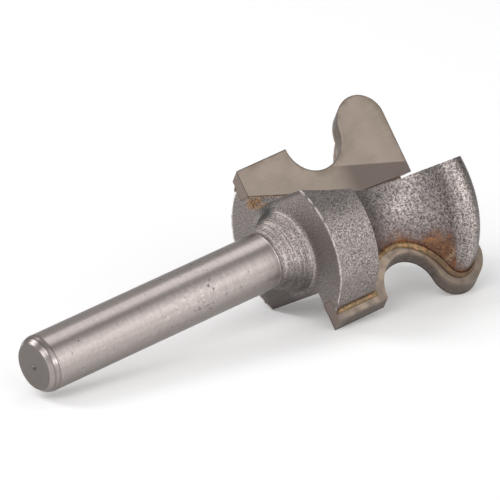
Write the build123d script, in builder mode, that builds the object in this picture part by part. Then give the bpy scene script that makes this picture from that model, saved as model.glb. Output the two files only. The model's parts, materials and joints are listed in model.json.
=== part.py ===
"""Two-flute router bit with a straight, cove and bead profile, on a 1/4 inch shank.

Every piece is drawn upright in the bit's own frame: Z runs along the axis from the shank's end to the
cutting end, and X points along the cutting edge of tooth 1.  The whole bit is then laid down on the
floor, z = 0, in the way it comes to rest.  Its head outweighs its shank, so it lies on the corner and
the bead of tooth 2 and on the heel of the wing behind tooth 1, with the shank's end just off the floor.
"""

import os
from math import cos, hypot, radians, sin, sqrt, tan

from build123d import *

# ---------------------------------------------------------------- driving dimensions, in millimetres

# Shank: a 1/4 inch shank, ground bright, for a router's collet
shank_radius = 3.175
shank_length = 31.6
chamfer_length = 1.0
chamfer_width = 0.6
chamfer_knee_length = 0.52  # the chamfer is broken in two: steep, then shallow
chamfer_knee_width = 0.155
centre_mark_radius = 0.4
centre_mark_depth = 0.25

# Hub: the cone that carries the shank into the rim
hub_length = 3.4
hub_undercut = 0.065  # the cone starts this much inside the ground shank
hub_flare = 1.525  # and ends this much outside it
hub_fillet = 0.7

# Rim: the straight band that backs the straight part of each cutting edge
rim_length = 5.4
rim_radius = 9.03

# Cutting profile, in the plane of the rake face: straight edge, cove and bead
straight_edge_overhang = 1.02  # reach of the straight edge outside the rim
cove_centre_reach = 10.05
cove_rise = 5.3  # height of the cove's centre above the rim
bead_centre_reach = 9.17
bead_rise = 6.9  # height of the bead's centre above the cove's
bead_radius = 3.25
bead_end_trim = 0.05  # the end face takes this much off the bead

# Neck and lobe: the turned profile that backs the cove and the bead
neck_centre_offset = 1.8  # the neck's centre lies this far outside the cove's
neck_centre_drop = 0.8  # and this far below it
lobe_setback = 1.35  # the lobe's radius is this much smaller than the bead's
lobe_centre_drop = 0.2

# Tip: a blank of carbide, brazed in and then ground to the profile with a relief
rake_offset = 2.01  # the rake face stands this far behind the axis
tip_thickness = 1.6
relief_shift = 0.8  # how far the profile falls back towards the axis over the tip's thickness
blank_bottom_width = 3.0  # from the straight edge in to the blank's inner edge, where the rim begins
seat_land = 0.65  # least width of the seat, behind the neck's waist
blank_knee_drop = 4.0  # the inner edge turns upright this far below the bead's centre
blank_top_lean = 0.4  # and then leans in this much more up to the cutting end

# Braze
braze_thickness = 0.12
braze_fillet = 0.42  # legs of the fillet along the corner behind the tip

# Gullet: the chip space in front of each tip, milled by a wheel that runs out at the rim
gullet_end_reach = 1.85  # floor of the gullet at the cutting end, where it meets the ledge
gullet_floor_slope = 3.3  # degrees, rising towards the shank
gullet_floor_length = 7.9  # straight part of the floor
gullet_wheel_radius = 33.8
gullet_runout_sweep = 30.0  # degrees of the wheel's arc, enough to leave the rim
gullet_opening = 3.5  # degrees that the floor leans out beyond square to the rake face
ledge_drop = 0.15  # the steel below the blank lies this far under the rake face

# Flat ground on the rim behind each tip
heel_flat_depth = 0.13
heel_flat_angle = -38.2

# Settling: rounds of finding where the bead touches the floor, and the floor through the three points
settling_steps = 8

# ---------------------------------------------------------------- sizes that follow from them

rim_bottom = shank_length + hub_length
rim_top = rim_bottom + rim_length
cove_height = rim_top + cove_rise
bead_height = cove_height + bead_rise
cutting_end = bead_height + bead_radius - bead_end_trim
straight_edge_reach = rim_radius + straight_edge_overhang
cove_radius = hypot(bead_rise, cove_centre_reach - bead_centre_reach) - bead_radius
neck_centre = (cove_centre_reach + neck_centre_offset, cove_height - neck_centre_drop)
lobe_centre = (bead_centre_reach, bead_height - lobe_centre_drop)
lobe_radius = bead_radius - lobe_setback
neck_arc_radius = hypot(neck_centre[0] - lobe_centre[0], lobe_centre[1] - neck_centre[1]) - lobe_radius
neck_start_radius = neck_centre[0] - sqrt(neck_arc_radius**2 - (neck_centre[1] - rim_top) ** 2)
body_end = lobe_centre[1] + lobe_radius
seat_depth = rake_offset + tip_thickness + braze_thickness
waist_reach = sqrt((neck_centre[0] - neck_arc_radius) ** 2 - seat_depth**2)
blank_bottom = (straight_edge_reach - blank_bottom_width, rim_bottom)
blank_slope = (blank_bottom[0] - waist_reach + seat_land) / (neck_centre[1] - rim_bottom)
blank_knee_rise = bead_height - blank_knee_drop - rim_bottom
blank_knee = (blank_bottom[0] - blank_slope * blank_knee_rise, rim_bottom + blank_knee_rise)
wall_plane = Plane.XZ.offset(rake_offset + ledge_drop)
rake_plane = Plane.XZ.offset(rake_offset)
outside = bead_centre_reach + rim_radius  # a reach that clears the whole bit


def toward(start, end, distance):
    """The point at the given distance from start on the way to end."""
    span = hypot(end[0] - start[0], end[1] - start[1])
    return tuple(a + (b - a) * distance / span for a, b in zip(start, end))


# ---------------------------------------------------------------- the turned and fluted steel

neck_to_lobe = toward(neck_centre, lobe_centre, neck_arc_radius)
neck_waist = (neck_centre[0] - neck_arc_radius, neck_centre[1])
lobe_crest = (lobe_centre[0] + lobe_radius, lobe_centre[1])
hub_end_radius = shank_radius + hub_flare

with BuildPart() as turned_blank:
    with BuildSketch(Plane.XZ) as half_section:
        with BuildLine():
            Polyline(
                (0, centre_mark_depth),
                (centre_mark_radius, 0),
                (shank_radius - chamfer_width, 0),
                (shank_radius - chamfer_knee_width, chamfer_knee_length),
                (shank_radius, chamfer_length),
                (shank_radius, shank_length),
                (shank_radius - hub_undercut, shank_length),
                (hub_end_radius, rim_bottom),
                (rim_radius, rim_bottom),
                (rim_radius, rim_top),
                (neck_start_radius, rim_top),
            )
            ThreePointArc((neck_start_radius, rim_top), neck_waist, neck_to_lobe)
            ThreePointArc(neck_to_lobe, lobe_crest, (lobe_centre[0], body_end))
            Polyline((lobe_centre[0], body_end), (0, body_end), (0, centre_mark_depth))
        make_face()
        hub_root = half_section.vertices().sort_by_distance((hub_end_radius, rim_bottom))[0]
        fillet(hub_root, hub_fillet)
    revolve(axis=Axis.Z)

with BuildPart() as gullet:
    runout_reach = gullet_end_reach + gullet_floor_length * tan(radians(gullet_floor_slope))
    with BuildSketch(wall_plane):
        with BuildLine():
            past_end = (gullet_end_reach, cutting_end)
            straight = Line(past_end, (runout_reach, cutting_end - gullet_floor_length))
            runout = JernArc(straight @ 1, straight % 1, gullet_wheel_radius, gullet_runout_sweep)
            Polyline(runout @ 1, (outside, (runout @ 1).Y), (outside, cutting_end), past_end)
        make_face()
    extrude(amount=outside, dir=(-sin(radians(gullet_opening)), cos(radians(gullet_opening)), 0))

with BuildPart() as fluted_blank:
    add(turned_blank.part)
    with PolarLocations(0, 2):
        add(gullet.part, mode=Mode.SUBTRACT)
    with BuildSketch(Plane.XY.offset(rim_bottom)):
        with PolarLocations(rim_radius - heel_flat_depth, 2, start_angle=heel_flat_angle):
            Rectangle(rim_radius, rim_radius, align=(Align.MIN, Align.CENTER))
    extrude(amount=rim_top - rim_bottom, mode=Mode.SUBTRACT)

# ---------------------------------------------------------------- the tip of tooth 1

cove_centre = (cove_centre_reach, cove_height)
bead_centre = (bead_centre_reach, bead_height)
cove_to_bead = toward(cove_centre, bead_centre, cove_radius)
cove_start = (straight_edge_reach, cove_height - sqrt(cove_radius**2 - (cove_centre_reach - straight_edge_reach) ** 2))
bead_end = (bead_centre_reach + sqrt(bead_radius**2 - (cutting_end - bead_height) ** 2), cutting_end)

with BuildSketch(rake_plane) as blank_outline:
    with BuildLine():
        Polyline(
            blank_bottom,
            (outside, rim_bottom),
            (outside, cutting_end),
            (blank_knee[0] - blank_top_lean, cutting_end),
            blank_knee,
            close=True,
        )
    make_face()

with BuildPart() as carbide_tip_1:
    with BuildSketch(rake_plane):
        with BuildLine():
            Polyline((0, rim_bottom), (straight_edge_reach, rim_bottom), cove_start)
            ThreePointArc(cove_start, (cove_centre_reach - cove_radius, cove_height), cove_to_bead)
            ThreePointArc(cove_to_bead, (bead_centre_reach + bead_radius, bead_height), bead_end)
            Polyline(bead_end, (0, cutting_end), (0, rim_bottom))
        make_face()
    extrude(amount=hypot(relief_shift, tip_thickness), dir=(-relief_shift, -tip_thickness, 0))
    extrude(blank_outline.sketch, amount=tip_thickness, mode=Mode.INTERSECT)

# ---------------------------------------------------------------- the steel body with its two seats

with BuildPart() as seat:
    with BuildSketch(rake_plane):
        add(blank_outline.sketch_local)
        offset(amount=braze_thickness, kind=Kind.INTERSECTION)
    extrude(amount=tip_thickness + braze_thickness)

with BuildPart() as steel_body:
    add(fluted_blank.part)
    with PolarLocations(0, 2):
        add(seat.part, mode=Mode.SUBTRACT)

# ---------------------------------------------------------------- the braze of tooth 1

seat_floor = steel_body.faces().filter_by(Axis.Y).sort_by(Axis.Y)[0]
turned_edges = seat_floor.edges().filter_by(GeomType.LINE, reverse=True)
upright_edges = seat_floor.edges().filter_by(Axis.Z)
level_edges = seat_floor.edges().filter_by(Axis.X).sort_by(Axis.Z)[1:]
fillet_path = Wire(turned_edges + upright_edges + level_edges)

with BuildPart() as braze_joint_1:
    extrude(seat_floor, amount=tip_thickness + braze_thickness - ledge_drop)
    extrude(blank_outline.sketch, amount=tip_thickness, mode=Mode.SUBTRACT)
    with BuildLine():
        add(fillet_path)
    with BuildSketch(Plane(fillet_path @ 0, z_dir=fillet_path % 0)):
        Rectangle(hypot(braze_fillet, braze_fillet), hypot(braze_fillet, braze_fillet), rotation=45)
    sweep(transition=Transition.RIGHT)
    add(steel_body.part, mode=Mode.SUBTRACT)
    add(carbide_tip_1.part, mode=Mode.SUBTRACT)

# ---------------------------------------------------------------- tooth 2, half a turn on

half_turn = (0, 0, 180)

with BuildPart() as carbide_tip_2:
    add(carbide_tip_1.part, rotation=half_turn)

with BuildPart() as braze_joint_2:
    add(braze_joint_1.part, rotation=half_turn)

# ---------------------------------------------------------------- laid down as it comes to rest

heel_corners = steel_body.vertices().filter_by_position(Axis.Z, rim_bottom, rim_top)
heel_touch = Vector(*heel_corners.sort_by(lambda corner: corner.X + corner.Y)[0])
edge_touch = Vector(-straight_edge_reach, rake_offset, rim_bottom)
second_bead_centre = Vector(-bead_centre_reach, rake_offset, bead_height)

down = Vector(-1, 0, 0)  # first guess: straight out along the edge of tooth 2
for _ in range(settling_steps):
    bead_touch = second_bead_centre + Vector(down.X, 0, down.Z).normalized() * bead_radius
    down = (heel_touch - edge_touch).cross(bead_touch - edge_touch).normalized()

up = -down
ahead = Vector(0, 0, 1) - up * up.Z  # the bit's axis, seen from above
touching = Plane(edge_touch, x_dir=ahead, z_dir=up)

pieces = {
    "steel_body": steel_body,
    "carbide_tip_1": carbide_tip_1,
    "carbide_tip_2": carbide_tip_2,
    "braze_joint_1": braze_joint_1,
    "braze_joint_2": braze_joint_2,
}
for piece in pieces.values():
    piece.part.move(touching.location.inverse())
extent = Compound([piece.part for piece in pieces.values()]).bounding_box()
to_origin = Location((-extent.center().X, -extent.center().Y, -extent.min.Z))

os.makedirs("parts", exist_ok=True)
for name, piece in pieces.items():
    piece.part.move(to_origin)
    piece.part.label = name
    export_step(piece.part, f"parts/{name}.step")
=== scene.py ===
"""Profile router bit with two brazed carbide tips, laid on a pale studio floor."""
import json
from math import cos, radians, sin

import bpy
from mathutils import Matrix, Quaternion, Vector


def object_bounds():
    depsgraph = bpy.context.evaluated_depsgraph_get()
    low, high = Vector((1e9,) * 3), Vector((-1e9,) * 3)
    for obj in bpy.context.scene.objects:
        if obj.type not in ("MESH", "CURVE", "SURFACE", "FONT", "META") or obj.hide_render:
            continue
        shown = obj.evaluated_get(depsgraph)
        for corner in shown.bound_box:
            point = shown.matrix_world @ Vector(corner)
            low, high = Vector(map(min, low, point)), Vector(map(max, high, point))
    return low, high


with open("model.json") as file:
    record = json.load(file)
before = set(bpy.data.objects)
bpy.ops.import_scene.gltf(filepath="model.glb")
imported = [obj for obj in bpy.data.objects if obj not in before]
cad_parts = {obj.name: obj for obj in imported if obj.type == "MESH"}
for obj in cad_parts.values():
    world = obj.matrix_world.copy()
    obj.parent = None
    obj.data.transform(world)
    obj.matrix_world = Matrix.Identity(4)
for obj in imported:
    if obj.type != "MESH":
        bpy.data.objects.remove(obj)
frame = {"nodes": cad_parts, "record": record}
cad_box = [list(corner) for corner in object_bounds()]

# ---------------------------------------------------------------- camera
# A long lens, far off and a little above the bit, looks along the shank from its end at the left
# front.  The camera leans slightly to one side, so the bit runs up to the right.
view_azimuth = radians(-128.47)
view_elevation = radians(17.57)
view_lean = radians(-3.58)
view_distance = 0.7124
lens_mm = 476.4
sensor_mm = 36
aim_shift = Vector((0.00379, 0.00246, -0.00182))  # from the middle of the bit's box

aim = (Vector(cad_box[0]) + Vector(cad_box[1])) / 2 + aim_shift
towards_camera = Vector(
    (
        cos(view_elevation) * cos(view_azimuth),
        cos(view_elevation) * sin(view_azimuth),
        sin(view_elevation),
    )
)
camera_data = bpy.data.cameras.new("camera")
camera_data.lens = lens_mm
camera_data.sensor_width = sensor_mm
camera_data.clip_end = 10
camera = bpy.data.objects.new("camera", camera_data)
bpy.context.scene.collection.objects.link(camera)
upright = towards_camera.to_track_quat("Z", "Y")
camera.rotation_mode = "QUATERNION"
camera.rotation_quaternion = upright @ Quaternion((0, 0, 1), view_lean)
camera.location = aim + towards_camera * view_distance
bpy.context.scene.camera = camera
bpy.context.scene.view_settings.view_transform = "Standard"

# ---------------------------------------------------------------- floor
# A wide sheet of matt white paper.  It runs well past the view on every side, and looks white to
# the camera and in the metal under the plain light.
floor_reach = 2.0
paper_white = (0.93, 0.93, 0.93, 1)
paper_glow = 0.16  # what the camera and the metal see on top of the lit paper


def add_node(tree, kind, inputs=None, **settings):
    """Adds a node with these settings, and fills or connects its inputs by name or number."""
    node = tree.nodes.new("ShaderNode" + kind)
    for name, value in settings.items():
        setattr(node, name, value)
    for socket, value in (inputs or {}).items():
        if isinstance(value, bpy.types.NodeSocket):
            tree.links.new(value, node.inputs[socket])
        else:
            node.inputs[socket].default_value = value
    return node


def maths(tree, operation, *values):
    """The result of one Math node on these values."""
    return add_node(tree, "Math", dict(enumerate(values)), operation=operation).outputs[0]


def new_material(name, **plain_inputs):
    """A material, its node tree and its Principled shader, with the inputs that stay plain set."""
    material = bpy.data.materials.new(name)
    material.use_nodes = True
    shader = material.node_tree.nodes["Principled BSDF"]
    for socket, value in plain_inputs.items():
        shader.inputs[socket.replace("_", " ")].default_value = value
    return material, material.node_tree, shader


bpy.ops.object.select_all(action="DESELECT")
bpy.ops.mesh.primitive_plane_add(size=2 * floor_reach, location=(0, 0, 0))
floor = bpy.context.object
floor.name = "floor"
paper, tree, shader = new_material("white paper", Base_Color=paper_white, Roughness=0.9)
shader.inputs["Specular IOR Level"].default_value = 0.1
shader.inputs["Emission Color"].default_value = (1, 1, 1, 1)
ray = add_node(tree, "LightPath").outputs
mirrored = maths(tree, "ADD", ray["Is Glossy Ray"], ray["Is Transmission Ray"])
seen = maths(tree, "ADD", ray["Is Camera Ray"], mirrored)
tree.links.new(maths(tree, "MULTIPLY", seen, paper_glow), shader.inputs["Emission Strength"])
floor.data.materials.append(paper)

# ---------------------------------------------------------------- light
# A pale room with one broad bright wall behind the camera and softer light from the back.  A dim
# soft box hangs overhead, and others stand round the bit.  The ground shank shows the room as long
# light and dark streaks.
wall_tones = (  # how far to the front, and grey
    (0.0, 0.38),
    (0.4, 0.38),
    (0.52, 0.56),
    (0.66, 0.92),
    (0.8, 1.05),
)
soft_boxes = {  # place from the bit, size, watts
    "overhead": ((0.27, 0.087, 0.53), 0.34, 0.28),
    "front": ((0.0, -0.57, 0.13), 0.15, 0.42),
    "left": ((-0.4, -0.22, 0.4), 0.3, 1.1),
    "behind": ((-0.21, 0.37, 0.43), 0.3, 1.1),
}

world = bpy.data.worlds.new("studio")
bpy.context.scene.world = world
world.use_nodes = True
sky = world.node_tree
direction = add_node(sky, "SeparateXYZ", {0: add_node(sky, "TexCoord").outputs["Generated"]})
forward = maths(sky, "MULTIPLY", direction.outputs["Y"], -1.0)
tones = add_node(sky, "ValToRGB", {"Fac": forward})
while len(tones.color_ramp.elements) < len(wall_tones):
    tones.color_ramp.elements.new(0.5)
for stop, (position, grey) in zip(tones.color_ramp.elements, wall_tones):
    stop.position = position
    stop.color = (grey, grey, grey, 1)
sky.links.new(tones.outputs["Color"], sky.nodes["Background"].inputs["Color"])

for name, (offset, width, watts) in soft_boxes.items():
    lamp_data = bpy.data.lights.new(name, "AREA")
    lamp_data.size = width
    lamp_data.energy = watts
    lamp = bpy.data.objects.new(name, lamp_data)
    bpy.context.scene.collection.objects.link(lamp)
    lamp.location = aim + Vector(offset)
    lamp.rotation_mode = "QUATERNION"
    lamp.rotation_quaternion = Vector(offset).to_track_quat("Z", "Y")

# ---------------------------------------------------------------- steel body
# One piece of steel.  The shank is ground bright.  The hub, rim, neck and lobes behind it are
# turned and then sand-blasted to a dark grain, their sharp edges rubbed bright.  Brazing left heat
# colours and brown flux stains beside the tips.
# Painted shade lies in corners, beside the rim and on the lower side, painted highlights on
# crests.

# sizes on the bit, in millimetres, with heights along its axis from the shank's end
shank_length = 31.6
chamfer_length = 1.0
chamfer_knee = 0.52  # the chamfer is broken in two at this height
shank_radius = 3.175
hub_radius = 4.7  # where it meets the rim
rim_bottom = 35.0
rim_top = 40.4
rim_radius = 9.03
cove_height = 45.7
lobe_line = 51.1  # a line turned round the lobes
lobe_crest = (11.07, 52.4)  # radius and height
seat_depth = 3.73  # the floor of a tip's seat lies this far behind the axis
tooth_turn = radians(62.37)  # the first cutting edge, turned up from level about the axis

# the bit's own axes and start, from where the record says that a collet grips the shank
grip = frame["record"]["mounts"][0]
axis = -Vector(grip["axis"]).normalized()
shank_end = Vector(grip["pos_m"]) - axis * (chamfer_length + grip["dims"]["length_mm"] / 2) / 1000
level = Vector((0, 1, 0))
over = axis.cross(level)
tooth_x = level * cos(tooth_turn) + over * sin(tooth_turn)
to_bit = Matrix((tooth_x, axis.cross(tooth_x), axis))


def new_group(name, ins, outs):
    """An empty node group with its input and output nodes.  Its sockets are {name: kind}."""
    tree = bpy.data.node_groups.new(name, "ShaderNodeTree")
    for way, sockets in (("INPUT", ins), ("OUTPUT", outs)):
        for socket, kind in sockets.items():
            tree.interface.new_socket(socket, in_out=way, socket_type="NodeSocket" + kind)
    return tree, tree.nodes.new("NodeGroupInput"), tree.nodes.new("NodeGroupOutput")


def slope(tree, value, start, end):
    """0 where the value is at or before start, 1 at or past end, and straight between them."""
    inputs = {"Value": value, "From Min": start, "From Max": end}
    return add_node(tree, "MapRange", inputs).outputs[0]


def near(tree, value, middle, half_width):
    """1 where the value is at the middle, falling to 0 at half_width from it."""
    away = maths(tree, "ABSOLUTE", maths(tree, "SUBTRACT", value, middle))
    return slope(tree, away, half_width, 0.0)


def times(tree, *masks):
    """The masks multiplied together, so what is left is where all of them are."""
    product = masks[0]
    for mask in masks[1:]:
        product = maths(tree, "MULTIPLY", product, mask)
    return product


def blend(tree, share, first, second):
    """The colour that goes from first to second as the share goes from 0 to 1."""
    inputs = {"Factor": share, "A": first, "B": second}
    return add_node(tree, "Mix", inputs, data_type="RGBA").outputs["Result"]


def level_mix(tree, share, first, second):
    """The same for plain levels, such as a roughness."""
    return add_node(tree, "Mix", {"Factor": share, "A": first, "B": second}).outputs["Result"]


def noise(tree, place, scale, detail=2.0, roughness=0.5, stretch=(1, 1, 1)):
    """Cloudy noise over the place, with so many clouds to the millimetre in each direction."""
    scales = tuple(scale * s for s in stretch)
    scaled = add_node(tree, "VectorMath", {0: place, 1: scales}, operation="MULTIPLY").outputs[0]
    inputs = {"Vector": scaled, "Scale": 1.0, "Detail": detail, "Roughness": roughness}
    return add_node(tree, "TexNoise", inputs).outputs["Fac"]


def bump(tree, shader, height, strength, distance):
    """Raises the surface by the height's pattern, at most by the distance in metres."""
    inputs = {"Height": height, "Strength": strength, "Distance": distance}
    tree.links.new(add_node(tree, "Bump", inputs).outputs[0], shader.inputs["Normal"])


def steel_grey(tone):
    """A slightly warm grey."""
    return (tone * 1.13, tone, tone * 0.95, 1)


def make_bit_place():
    """Turns object coordinates into places on the bit, in millimetres.  Along and Out are the
    height and the distance from the axis.  Tooth X and Tooth Y run along the nearer tip and ahead
    of it, so both teeth read the same.  Skin is the way round the shank, then out, then along."""
    outs = {
        "Place": "Vector",
        "Along": "Float",
        "Out": "Float",
        "Tooth X": "Float",
        "Tooth Y": "Float",
        "Skin": "Vector",
    }
    tree, entry, leave = new_group("place on the bit", {"Object": "Vector"}, outs)
    mapping = add_node(tree, "Mapping", {"Vector": entry.outputs[0], "Scale": (1000, 1000, 1000)})
    mapping.inputs["Rotation"].default_value = to_bit.to_euler("XYZ")
    mapping.inputs["Location"].default_value = -1000 * (to_bit @ shank_end)
    x, y, z = add_node(tree, "SeparateXYZ", {0: mapping.outputs[0]}).outputs
    out = maths(tree, "SQRT", maths(tree, "ADD", times(tree, x, x), times(tree, y, y)))
    side = maths(tree, "SIGN", x)
    turn = times(tree, maths(tree, "ARCTAN2", y, x), shank_radius)
    skin = add_node(tree, "CombineXYZ", {0: turn, 1: out, 2: z}).outputs[0]
    found = (mapping.outputs[0], z, out, times(tree, x, side), times(tree, y, side), skin)
    for socket, value in zip(outs, found):
        tree.links.new(value, leave.inputs[socket])
    return tree


bit_place = make_bit_place()


def on_the_bit(tree):
    """Where a point of the material lies on the bit."""
    group = add_node(tree, "Group", node_tree=bit_place)
    tree.links.new(add_node(tree, "TexCoord").outputs["Object"], group.inputs[0])
    return group.outputs


def spot(tree, place, middle, radius):
    """1 at a point of the bit, falling to 0 at the radius."""
    away = add_node(tree, "VectorMath", {0: place, 1: middle}, operation="DISTANCE")
    return slope(tree, away.outputs["Value"], radius, 0.0)


dark_steel = steel_grey(0.1)
light_steel = steel_grey(0.62)
pit_black = steel_grey(0.08)

steel, tree, shader = new_material("blasted and ground steel", Metallic=1.0)
at = on_the_bit(tree)
place, along, out = at["Place"], at["Along"], at["Out"]
bit_x, bit_y, _ = add_node(tree, "SeparateXYZ", {0: place}).outputs

# how far back from the nearer tip's seat, and the steel that lies there
behind = maths(tree, "SUBTRACT", times(tree, at["Tooth Y"], -1.0), seat_depth)
past_seat = slope(tree, behind, -0.6, -0.3)

# the blasted head: a fine grain with dark pits, over broader patches, and coarser past the rim
grain = noise(tree, place, 5.2, 3.0, 0.7)
head_tone = blend(tree, slope(tree, grain, 0.34, 0.68), dark_steel, light_steel)
head_pits = slope(tree, noise(tree, place, 8.0, 1.0), 0.6, 0.72)
head_tone = blend(tree, head_pits, head_tone, pit_black)
patches = times(tree, slope(tree, noise(tree, place, 0.5, 2.0), 0.35, 0.7), 0.4)
head_tone = blend(tree, patches, head_tone, steel_grey(0.25))
past_rim = slope(tree, along, rim_top + 1.0, rim_top + 1.8)
coarse = slope(tree, noise(tree, place, 3.6, 2.0, 0.6), 0.5, 0.6)
head_tone = blend(tree, times(tree, past_rim, coarse, 0.72), head_tone, steel_grey(0.085))

# the hub: fine lathe lines round the cone
on_hub = slope(tree, along, rim_bottom, rim_bottom - 0.1)
on_hub = times(tree, on_hub, slope(tree, out, hub_radius + 1.5, hub_radius + 0.3))
lathe = noise(tree, at["Skin"], 6.6, 1.5, stretch=(0.04, 0, 1))
light_lines = times(tree, on_hub, slope(tree, lathe, 0.52, 0.66), 0.52)
head_tone = blend(tree, light_lines, head_tone, light_steel)
dark_lines = times(tree, on_hub, slope(tree, lathe, 0.46, 0.34), 0.62)
head_tone = blend(tree, dark_lines, head_tone, dark_steel)

# the shank-side faces of the wings: darker, with painted shade away from their lit part
on_face = slope(tree, out, hub_radius - 0.1, hub_radius + 0.9)
on_face = times(tree, near(tree, along, rim_bottom, 0.08), on_face)
lit_part = times(tree, slope(tree, bit_x, -1.5, 2.5), slope(tree, bit_y, 1.0, 3.0))
face_grey_and_shade = times(tree, on_face, level_mix(tree, lit_part, 0.55, 0.15))
head_tone = blend(tree, face_grey_and_shade, head_tone, steel_grey(0.17))

# a smudge on them, and painted shade low on them and on the hub's lower side beside them
smudge_middle = (4.4, -0.1, 34.4)
lower_shade_spots = (((-3.5, 0.5, 33.6), 3.5), ((-4.7, -5.0, 35.0), 4.4))  # middle, radius
smudge = slope(tree, noise(tree, place, 1.6, 3.0), 0.2, 0.45)
smudge = times(tree, spot(tree, place, smudge_middle, 2.3), smudge, 1.4)
smudge = maths(tree, "MINIMUM", smudge, 0.9)
head_tone = blend(tree, smudge, head_tone, (0.085, 0.086, 0.082, 1))
for middle, radius in lower_shade_spots:
    lower_shade = maths(tree, "MINIMUM", times(tree, spot(tree, place, middle, radius), 1.3), 0.7)
    head_tone = blend(tree, lower_shade, head_tone, pit_black)

# a dark line where each of these faces ends at the gullet
heel_edge = maths(tree, "ADD", at["Tooth X"], times(tree, at["Tooth Y"], 0.053))
heel_edge = times(tree, near(tree, heel_edge, 5.35, 0.4), slope(tree, at["Tooth Y"], -0.8, -0.2))
head_tone = blend(tree, times(tree, heel_edge, on_face, 0.7), head_tone, steel_grey(0.07))

# painted shade on the rim beside the gullet and the tip, and on the neck beside the rim
to_gullet = times(tree, slope(tree, at["Tooth X"], 0.3, 2.6), slope(tree, at["Tooth Y"], 0.0, 1.0))
to_tip = times(tree, slope(tree, behind, 4.0, 0.5), past_seat)
rim_shade = maths(tree, "ADD", times(tree, to_gullet, 0.5), times(tree, to_tip, 0.34))
on_rim = slope(tree, out, rim_radius - 0.4, rim_radius - 0.2)
on_rim = times(tree, on_rim, slope(tree, along, rim_top + 0.2, rim_top - 0.1))
head_tone = blend(tree, times(tree, on_rim, rim_shade), head_tone, dark_steel)
neck_shade = slope(tree, along, cove_height - 0.5, cove_height - 2.5)
head_tone = blend(tree, times(tree, past_rim, neck_shade, 0.36), head_tone, dark_steel)

# a painted highlight along the lobes' crests, a bright line turned beside them, and painted shade
# on their far edge
crest_highlight = slope(tree, out, lobe_crest[0] - 1.2, lobe_crest[0] - 0.4)
crest_highlight = times(tree, crest_highlight, near(tree, along, lobe_crest[1] - 0.25, 0.85))
crest_highlight = times(tree, crest_highlight, slope(tree, grain, 0.44, 0.58), 0.6)
head_tone = blend(tree, crest_highlight, head_tone, steel_grey(0.74))
far_edge_shade = slope(tree, along, lobe_crest[1] + 0.15, lobe_crest[1] + 0.75)
head_tone = blend(tree, times(tree, far_edge_shade, 0.6), head_tone, dark_steel)
turned_line = slope(tree, noise(tree, place, 1.4, 2.0), 0.4, 0.6)
turned_line = times(tree, turned_line, near(tree, along, lobe_line, 0.08), 0.5)
head_tone = blend(tree, turned_line, head_tone, steel_grey(0.75))

# heat colours and flux stain behind the tips, widest beside the bead, with a crust of dried flux
haze_brown = (0.21, 0.16, 0.125, 1)
heat_brown = (0.20, 0.135, 0.135, 1)
flux_dark = (0.11, 0.05, 0.03, 1)
flux_light = (0.36, 0.2, 0.115, 1)
rust = (0.5, 0.23, 0.1, 1)
dried_flux = (0.7, 0.55, 0.4, 1)
behind_tip = times(tree, past_seat, slope(tree, along, rim_top + 0.6, rim_top + 2.6))
behind_tip = times(tree, behind_tip, slope(tree, out, 4.2, 6.0))
beside_bead = slope(tree, along, lobe_line - 2.8, lobe_line - 0.7)
beside_bead = times(tree, beside_bead, slope(tree, along, lobe_line, lobe_line - 0.5))
stain_reach = maths(tree, "ADD", times(tree, beside_bead, 2.5), 0.7)
uneven = times(tree, maths(tree, "SUBTRACT", noise(tree, place, 1.1, 3.0), 0.5), 1.8)
past_stain = maths(tree, "ADD", maths(tree, "SUBTRACT", behind, stain_reach), uneven)
haze = times(tree, behind_tip, slope(tree, along, lobe_line - 0.7, lobe_line + 0.1))
haze = times(tree, haze, slope(tree, behind, 2.6, 0.5), 0.8)
head_tone = blend(tree, haze, head_tone, haze_brown)
heat = times(tree, behind_tip, slope(tree, past_stain, 1.4, -0.2), 0.6)
head_tone = blend(tree, heat, head_tone, heat_brown)
stain_tone = blend(tree, slope(tree, grain, 0.36, 0.66), flux_dark, flux_light)
rusty = slope(tree, noise(tree, place, 0.9, 3.0), 0.5, 0.62)
stain_tone = blend(tree, times(tree, rusty, 0.6), stain_tone, rust)
stain = times(tree, behind_tip, slope(tree, past_stain, 0.4, -0.5), 0.9)
head_tone = blend(tree, stain, head_tone, stain_tone)
ragged = maths(tree, "ADD", along, times(tree, noise(tree, place, 0.8, 3.0), 1.6))
crust = times(tree, behind_tip, near(tree, ragged, lobe_line + 0.25, 0.12))
crust = times(tree, crust, slope(tree, behind, 2.6, 2.2), slope(tree, behind, 0.4, 0.7), 0.6)
head_tone = blend(tree, crust, head_tone, dried_flux)

# braze that ran out onto the face beside the first tip, in a long low patch
patch_stretch = (2.2, 0.75, 1.0)
patch_middle = (13.6, -0.5, 35.0)  # after the stretch
patch_radius = 2.1
stretched = add_node(tree, "VectorMath", {0: place, 1: patch_stretch}, operation="MULTIPLY")
run_out = times(tree, spot(tree, stretched.outputs[0], patch_middle, patch_radius), 4.0)
run_out = times(tree, run_out, slope(tree, noise(tree, place, 2.0, 4.0), 0.3, 0.52))
run_out = maths(tree, "MINIMUM", run_out, 0.9)
speckled = slope(tree, grain, 0.38, 0.62)
patch_tone = blend(tree, speckled, (0.16, 0.085, 0.045, 1), (0.55, 0.34, 0.18, 1))
head_tone = blend(tree, run_out, head_tone, patch_tone)

# the rim's shank-side edge rubbed bright
rim_edge = slope(tree, out, rim_radius - 0.3, rim_radius - 0.08)
rim_edge = times(tree, rim_edge, near(tree, along, rim_bottom, 0.16))
rim_edge = times(tree, rim_edge, slope(tree, noise(tree, place, 1.2, 3.0), 0.36, 0.56))
head_tone = blend(tree, rim_edge, head_tone, (0.9, 0.84, 0.79, 1))

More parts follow.
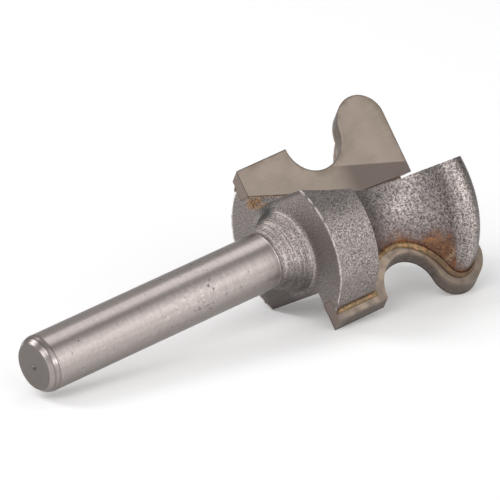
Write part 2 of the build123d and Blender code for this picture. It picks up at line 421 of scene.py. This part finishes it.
# the ground shank: long faint streaks and fine marks across it
streaks = noise(tree, at["Skin"], 1.6, 3.0, stretch=(1, 0, 0.03))
marks = noise(tree, at["Skin"], 5.0, 2.0, stretch=(0.06, 0, 1))
shank_tone = blend(tree, slope(tree, streaks, 0.3, 0.7), steel_grey(0.47), steel_grey(0.56))
fine_marks = times(tree, slope(tree, marks, 0.35, 0.75), 0.3)
shank_tone = blend(tree, fine_marks, shank_tone, steel_grey(0.72))

# a painted dark reflection as one long streak along it, and painted shade on its lower side
dark_reflection_streak = times(tree, near(tree, bit_x, 0.95, 0.75), 0.3)
shank_tone = blend(tree, dark_reflection_streak, shank_tone, dark_steel)
lower_side_shade = times(tree, slope(tree, bit_x, -0.5, -1.5), 0.3)
shank_tone = blend(tree, lower_side_shade, shank_tone, dark_steel)

# light and dark flecks, a dappled band, and a scatter of pits half-way along
flecks = noise(tree, at["Skin"], 2.6, 4.0, 0.7, stretch=(1, 0, 0.6))
light_flecks = times(tree, slope(tree, flecks, 0.56, 0.72), 0.45)
shank_tone = blend(tree, light_flecks, shank_tone, steel_grey(0.78))
dark_flecks = times(tree, slope(tree, flecks, 0.44, 0.3), 0.45)
shank_tone = blend(tree, dark_flecks, shank_tone, steel_grey(0.33))
dapples = slope(tree, noise(tree, place, 1.9, 4.0, 0.7), 0.5, 0.64)
dappled_band = times(tree, near(tree, along, 19.5, 9.0), near(tree, bit_x, -0.2, 1.9))
dapples = times(tree, dapples, dappled_band, 0.6)
shank_tone = blend(tree, dapples, shank_tone, steel_grey(0.85))
more_pits = times(tree, maths(tree, "ADD", near(tree, along, 22.0, 8.0), 0.25), 0.08)
shank_pits = maths(tree, "ADD", noise(tree, place, 2.4, 2.0), more_pits)
shank_pits = times(tree, slope(tree, shank_pits, 0.73, 0.78), 0.75)
shank_tone = blend(tree, shank_pits, shank_tone, steel_grey(0.12))

# the chamfer, duller, with a dark ring at its upper corner and another at its knee
chamfer = slope(tree, along, chamfer_length + 0.25, chamfer_length - 0.1)
shank_tone = blend(tree, times(tree, chamfer, 0.7), shank_tone, steel_grey(0.27))
for height in (chamfer_length + 0.05, chamfer_knee):
    ring = times(tree, near(tree, along, height, 0.14), 0.7)
    shank_tone = blend(tree, ring, shank_tone, steel_grey(0.14))

# the faced end, dull grey with a dark centre mark
end_face = slope(tree, along, 0.06, 0.02)
faced = noise(tree, at["Skin"], 3.0, 2.0, stretch=(0.02, 1, 0))
end_tone = blend(tree, slope(tree, faced, 0.35, 0.65), steel_grey(0.175), steel_grey(0.205))
shank_tone = blend(tree, end_face, shank_tone, end_tone)
centre_mark = times(tree, slope(tree, out, 0.5, 0.3), slope(tree, along, 0.4, 0.3), 0.6)
shank_tone = blend(tree, centre_mark, shank_tone, steel_grey(0.12))

# a thin painted highlight where the hub begins, and painted shade where the shank turns away on
# its lower side
hub_lip_highlight = times(tree, near(tree, along, shank_length - 0.08, 0.14), 0.8)
shank_tone = blend(tree, hub_lip_highlight, shank_tone, steel_grey(0.85))
limb_shade = slope(tree, add_node(tree, "LayerWeight").outputs["Facing"], 0.25, 0.8)
limb_shade = times(tree, limb_shade, slope(tree, bit_x, 5.0, -2.5))
shank_tone = blend(tree, limb_shade, shank_tone, steel_grey(0.15))

# shank and head together, with painted shade in the crease where they meet
on_head = slope(tree, along, shank_length - 0.03, shank_length + 0.03)
root_shade = times(tree, near(tree, along, shank_length + 0.12, 0.2), 0.7)
head_tone = blend(tree, root_shade, head_tone, pit_black)
steel_tone = blend(tree, on_head, shank_tone, head_tone)
tree.links.new(steel_tone, shader.inputs["Base Color"])

# how dull each part is, and the relief of the grain, the lathe lines and the marks
head_rough = level_mix(tree, slope(tree, grain, 0.38, 0.64), 0.62, 0.42)
head_rough = maths(tree, "SUBTRACT", head_rough, times(tree, past_rim, 0.1))
shank_rough = level_mix(tree, end_face, 0.28, 0.5)
tree.links.new(level_mix(tree, on_head, shank_rough, head_rough), shader.inputs["Roughness"])
relief = maths(tree, "ADD", times(tree, grain, on_head), times(tree, lathe, on_hub, 0.5))
relief = maths(tree, "ADD", relief, times(tree, marks, 0.04))
bump(tree, shader, relief, strength=0.7, distance=0.00006)
frame["nodes"]["steel_body"].material_slots[0].material = steel

# ---------------------------------------------------------------- carbide tips
# Two pieces of sintered tungsten carbide.  Their front faces are ground flat and polished, a warm
# grey smeared darker near the edges, with painted shade along them.  The profile behind the edge
# is ground to a dull relief, painted darker as shade.
rake_face = -2.01  # Tooth Y of the front face, which stands behind the axis
straight_edge = 10.05  # reach of the edge that trims the wood's face
straight_end = 42.0  # where the cove takes over from it
cove_middle = (10.05, cove_height)
cove_radius = 3.706
cove_end = 49.4  # where the bead takes over from the cove
bead_middle = (9.17, 52.6)
bead_radius = 3.25
cutting_end = 55.8
knee_height = 49.0  # near the knee in the blank's inner edge
inner_reach = 5.5  # reach of that edge there
inner_lean = 0.307  # and how much further in it lies a millimetre further up
edge_shade_width = 0.2  # width of the dark line along the profile
no_edge = 90.0  # moves a line out of reach where the tip has no such edge

carbide, tree, shader = new_material("ground carbide", Metallic=0.95)
at = on_the_bit(tree)
place, along, x = at["Place"], at["Along"], at["Tooth X"]

# the front face: soft clouds and fine grinding lines
warm_dark = (0.31, 0.254, 0.213, 1)
warm_light = (0.385, 0.316, 0.268, 1)
cloud = noise(tree, place, 0.35, 2.0)
lines = noise(tree, place, 6.0, 2.0, stretch=(1, 1, 0.05))
face_tone = blend(tree, slope(tree, cloud, 0.3, 0.7), warm_dark, warm_light)
grinding = times(tree, slope(tree, lines, 0.4, 0.75), 0.25)
face_tone = blend(tree, grinding, face_tone, (0.44, 0.37, 0.31, 1))


def from_middle(middle):
    """Distance from a point of the profile, in the plane of the front face."""
    flat = add_node(tree, "CombineXYZ", {0: x, 2: along}).outputs[0]
    point = (middle[0], 0, middle[1])
    away = add_node(tree, "VectorMath", {0: flat, 1: point}, operation="DISTANCE")
    return away.outputs["Value"]


# smeared and darker along the cutting profile, by the distance in from its nearest part
in_from_straight = maths(tree, "SUBTRACT", straight_edge, x)
past_straight = slope(tree, along, straight_end - 0.1, straight_end)
in_from_straight = maths(tree, "ADD", in_from_straight, times(tree, past_straight, no_edge))
in_from_bead = maths(tree, "SUBTRACT", bead_radius, from_middle(bead_middle))
off_bead = (
    slope(tree, x, bead_middle[0], bead_middle[0] - 0.05),
    slope(tree, along, cove_end, cove_end - 0.1),
)
for off in off_bead:
    in_from_bead = maths(tree, "ADD", in_from_bead, times(tree, off, no_edge))
in_from_cove = maths(tree, "SUBTRACT", from_middle(cove_middle), cove_radius)
in_from_end = maths(tree, "SUBTRACT", cutting_end, along)
in_from_edge = in_from_straight
for edge in (in_from_bead, in_from_cove, in_from_end):
    in_from_edge = maths(tree, "MINIMUM", in_from_edge, edge)
smeared = slope(tree, noise(tree, place, 0.8, 3.0), 0.42, 0.62)
smeared = times(tree, smeared, slope(tree, in_from_edge, 1.0, 0.15), 0.45)
face_tone = blend(tree, smeared, face_tone, (0.17, 0.13, 0.092, 1))
# painted shade as a thin dark line right along the profile
edge_shade_line = times(tree, slope(tree, in_from_edge, edge_shade_width, 0.05), 0.75)
face_tone = blend(tree, edge_shade_line, face_tone, (0.13, 0.10, 0.085, 1))

# painted shade in the corner along the upper part of the blank's inner edge
inward = times(tree, maths(tree, "SUBTRACT", along, knee_height), inner_lean)
inward = maths(tree, "ADD", x, inward)
corner = slope(tree, inward, inner_reach + 0.06, inner_reach - 0.1)
corner = times(tree, corner, slope(tree, along, cove_height - 0.1, 48.8), 0.85)
face_tone = blend(tree, corner, face_tone, (0.15, 0.12, 0.108, 1))

# the relief behind the edge: dull and painted dark as shade, wetted by braze further back, with
# painted shade darkest right behind the edge
shaded_dull_dark = (0.14, 0.115, 0.10, 1)
shaded_dull_light = (0.2, 0.165, 0.145, 1)
wet_light = (0.42, 0.335, 0.265, 1)
wet_dark = (0.27, 0.217, 0.178, 1)
depth = maths(tree, "SUBTRACT", rake_face, at["Tooth Y"])  # back from the front face
dull = slope(tree, noise(tree, place, 2.5, 3.0), 0.3, 0.7)
relief_tone = blend(tree, dull, shaded_dull_dark, shaded_dull_light)
wet = slope(tree, noise(tree, place, 0.9, 3.0), 0.4, 0.6)
wet_tone = blend(tree, wet, wet_light, wet_dark)
beside_bead = times(tree, slope(tree, along, 48.2, 50.2), 0.6)
wet_tone = blend(tree, beside_bead, wet_tone, (0.16, 0.13, 0.108, 1))
relief_tone = blend(tree, slope(tree, depth, 1.0, 1.5), relief_tone, wet_tone)
foot = slope(tree, along, rim_bottom + 1.4, rim_bottom + 0.2)
relief_tone = blend(tree, foot, relief_tone, (0.26, 0.21, 0.185, 1))
right_behind_shade = slope(tree, depth, 0.2, 0.08)
relief_tone = blend(tree, right_behind_shade, relief_tone, (0.07, 0.06, 0.055, 1))

off_face = slope(tree, depth, 0.01, 0.03)
tree.links.new(blend(tree, off_face, face_tone, relief_tone), shader.inputs["Base Color"])
tree.links.new(level_mix(tree, off_face, 0.13, 0.45), shader.inputs["Roughness"])
bump(tree, shader, lines, strength=0.15, distance=0.00001)
for name in ("carbide_tip_1", "carbide_tip_2"):
    frame["nodes"][name].material_slots[0].material = carbide

# ---------------------------------------------------------------- braze
# Silver braze that flowed out of the seats and set in a fillet, olive to gold.  The flux stained
# it, most of all beside the bead and at the foot of each tip.
olive = (0.17, 0.105, 0.045, 1)
gold = (0.55, 0.38, 0.21, 1)

braze, tree, shader = new_material("flux-stained braze", Metallic=0.7, Roughness=0.45)
at = on_the_bit(tree)
place, along = at["Place"], at["Along"]
spots = noise(tree, place, 2.6, 4.0, 0.7)
braze_tone = blend(tree, slope(tree, spots, 0.36, 0.6), olive, gold)
stained = times(tree, slope(tree, noise(tree, place, 0.8, 2.0), 0.45, 0.65), 0.8)
braze_tone = blend(tree, stained, braze_tone, (0.3, 0.21, 0.14, 1))
orange = times(tree, slope(tree, noise(tree, place, 1.3, 2.0), 0.58, 0.68), 0.6)
braze_tone = blend(tree, orange, braze_tone, (0.6, 0.27, 0.12, 1))

# a dark seam beside the steel, brown beside the bead, and dull at the foot
seam = maths(tree, "ADD", at["Tooth Y"], times(tree, noise(tree, place, 0.9, 2.0), 0.3))
seam = times(tree, near(tree, seam, 0.1 - seat_depth, 0.09), 0.8)
braze_tone = blend(tree, seam, braze_tone, (0.1, 0.065, 0.02, 1))
browned = times(tree, slope(tree, along, 48.0, 49.6), 0.72)
braze_tone = blend(tree, browned, braze_tone, (0.11, 0.066, 0.045, 1))
foot = slope(tree, along, rim_bottom + 0.3, rim_bottom)
braze_tone = blend(tree, foot, braze_tone, (0.16, 0.115, 0.08, 1))
tree.links.new(braze_tone, shader.inputs["Base Color"])
bump(tree, shader, spots, strength=0.6, distance=0.0001)
for name in ("braze_joint_1", "braze_joint_2"):
    frame["nodes"][name].material_slots[0].material = braze
